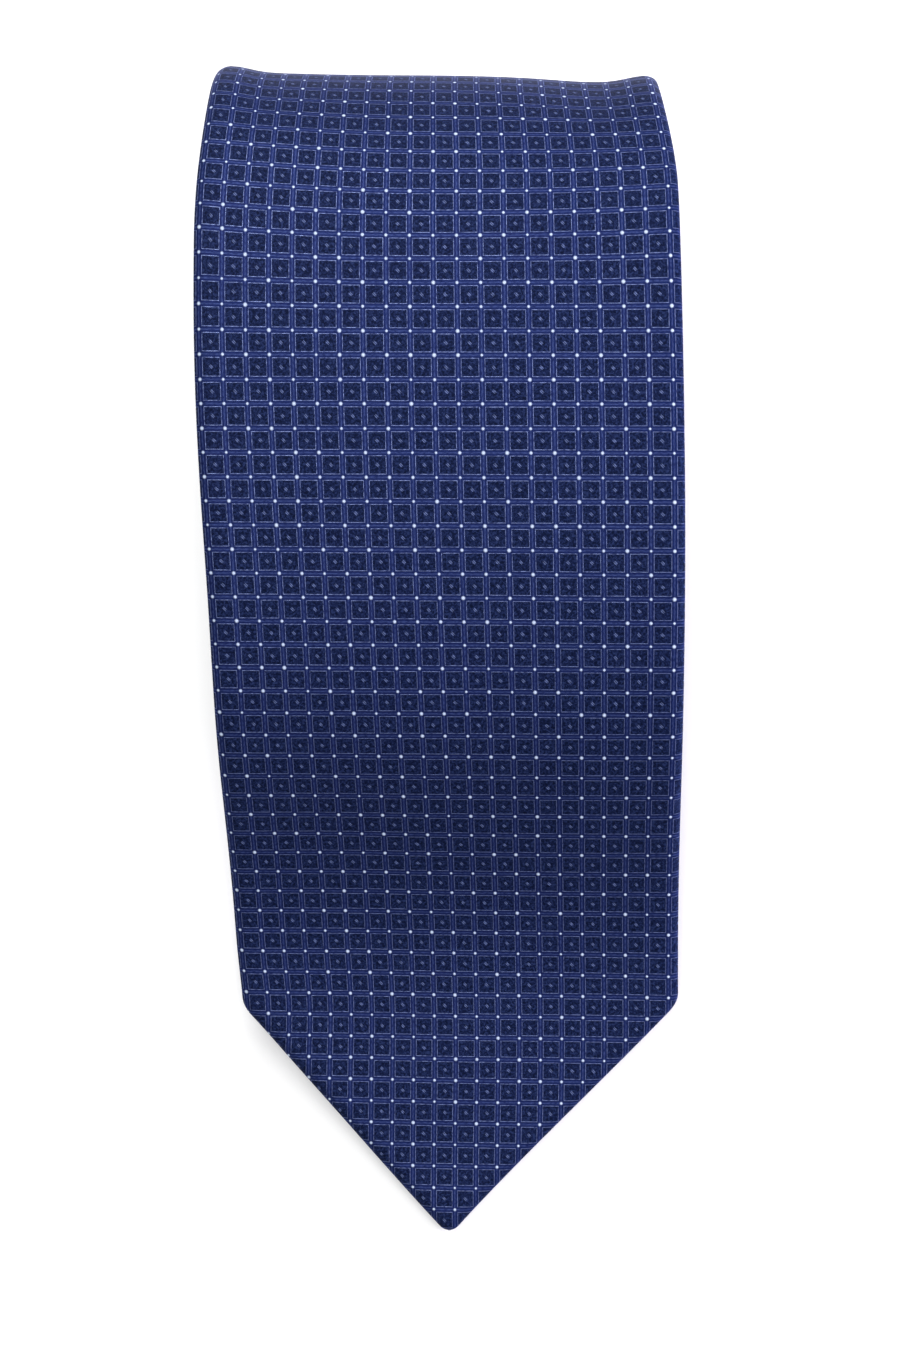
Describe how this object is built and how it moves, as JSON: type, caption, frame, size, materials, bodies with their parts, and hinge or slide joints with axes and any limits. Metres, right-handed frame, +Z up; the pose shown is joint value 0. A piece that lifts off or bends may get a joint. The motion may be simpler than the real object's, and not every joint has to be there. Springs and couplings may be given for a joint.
{
  "type": "necktie",
  "caption": "Woven silk necktie rolled up from its narrow end, with the pointed blade lying out in front; the blade lifts off the roll.",
  "frame": {"origin": "middle of the flat underside of the roll, below its crest", "axes": "+X runs across the tie, the tip of the blade points to -Y, +Z is up out of the surface it lies on"},
  "size_m": [0.08, 0.2104, 0.0418],
  "materials": {
    "silk": "navy jacquard silk with small squares and pale pin dots",
    "wool": "undyed brushed wool interlining",
    "tipping": "plain navy satin lining",
    "thread": "navy sewing thread",
    "label": "blank woven satin label with a plain border",
    "care": "blank white printed-satin ribbon"
  },
  "bodies": {
    "roll": {"blade_rear_shell": "silk", "neck_shell": "silk", "tail_shell": "silk", "blade_rear_interlining": "wool", "tail_interlining": "wool", "interlining_join": "thread", "tail_tipping": "tipping", "tail_tipping_stitches": "thread", "tail_bar_tack": "thread", "slip_stitch_rear": "thread", "blade_neck_seam": "thread", "neck_tail_seam": "thread"},
    "blade": {"blade_front_shell": "silk", "blade_front_interlining": "wool", "blade_tipping": "tipping", "blade_tipping_stitches": "thread", "keeper_loop": "silk", "keeper_tacks": "thread", "woven_label": "label", "label_stitches": "thread", "care_label": "care", "blade_bar_tack": "thread", "slip_stitch_front": "thread"}
  },
  "joints": [
    {"name": "blade_lift", "type": "hinge", "parent": "roll", "child": "blade", "pos_m": [0, 0.01749, 0.04118], "axis": [-1, 0, 0], "range_deg": [0, 45]}
  ]
}
